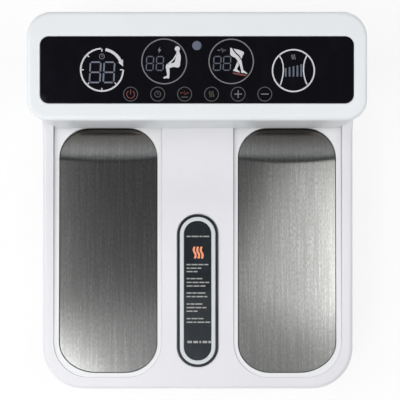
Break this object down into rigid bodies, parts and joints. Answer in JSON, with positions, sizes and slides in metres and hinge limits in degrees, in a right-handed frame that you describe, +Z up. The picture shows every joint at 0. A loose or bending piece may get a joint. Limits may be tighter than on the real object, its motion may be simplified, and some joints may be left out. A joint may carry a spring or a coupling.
{
  "type": "foot massager",
  "caption": "Wedge-shaped foot massager with brushed steel foot plates, a raised console with a black touch panel across the toe end, and a rear inlet with a rocker switch.",
  "frame": {"origin": "on the floor, under the middle of the object's bounding box", "axes": "+Z up, +Y towards the console at the toe end, +X to the right for a person whose heels are at -Y"},
  "size_m": [0.3516, 0.3998, 0.1452],
  "materials": {
    "white_shell": "satin moulded",
    "panel_gloss": "gloss",
    "smoked_lens": "gloss",
    "steel_plate": "brushed lengthwise",
    "gasket_rubber": "matte",
    "foot_rubber": "matte",
    "badge_gloss": "gloss",
    "badge_trim": "satin",
    "circuit_board": "solder mask",
    "display_block": "satin",
    "black_plastic": "satin",
    "bright_metal": "satin",
    "heater_film": "matte",
    "grey_foam": "matte",
    "lead_cover": "satin"
  },
  "bodies": {
    "housing": {"bottom_tray": "white_shell", "base_cover": "white_shell", "console_housing": "white_shell", "control_panel": "panel_gloss", "ir_window": "smoked_lens", "display_board": "circuit_board", "time_display": "display_block", "energy_display": "display_block", "ems_display": "display_block", "heat_display": "display_block", "remote_receiver": "black_plastic", "touch_spring_1": "bright_metal", "touch_spring_2": "bright_metal", "touch_spring_3": "bright_metal", "touch_spring_4": "bright_metal", "touch_spring_5": "bright_metal", "touch_spring_6": "bright_metal", "foot_plate_left": "steel_plate", "foot_plate_right": "steel_plate", "plate_gasket_left": "gasket_rubber", "plate_gasket_right": "gasket_rubber", "foot_bezel_left": "white_shell", "foot_bezel_right": "white_shell", "heater_pad_left": "heater_film", "heater_pad_right": "heater_film", "support_foam_left": "grey_foam", "support_foam_right": "grey_foam", "energy_emitter_left": "bright_metal", "energy_emitter_right": "bright_metal", "thermostat_left": "bright_metal", "thermostat_right": "bright_metal", "foot_harness_left": "lead_cover", "foot_harness_right": "lead_cover", "badge_frame": "badge_gloss", "badge_ring": "badge_trim", "badge_insert": "badge_gloss", "main_board": "circuit_board", "transformer": "bright_metal", "filter_capacitor": "black_plastic", "heatsink": "bright_metal", "ribbon_cable": "display_block", "mains_inlet": "black_plastic", "switch_frame": "black_plastic", "mains_lead": "lead_cover", "rubber_foot_1": "foot_rubber", "rubber_foot_2": "foot_rubber", "rubber_foot_3": "foot_rubber", "rubber_foot_4": "foot_rubber", "case_screw_1": "bright_metal", "case_screw_2": "bright_metal", "case_screw_3": "bright_metal", "case_screw_4": "bright_metal", "case_screw_5": "bright_metal", "case_screw_6": "bright_metal", "console_screw_1": "bright_metal", "console_screw_2": "bright_metal", "console_screw_3": "bright_metal", "console_screw_4": "bright_metal"},
    "rocker": {"power_rocker": "panel_gloss"}
  },
  "joints": [
    {"name": "rocker_hinge", "type": "hinge", "parent": "housing", "child": "rocker", "pos_m": [0.112, 0.1962, 0.0435], "axis": [1, 0, 0], "range_deg": [0, 14]}
  ]
}
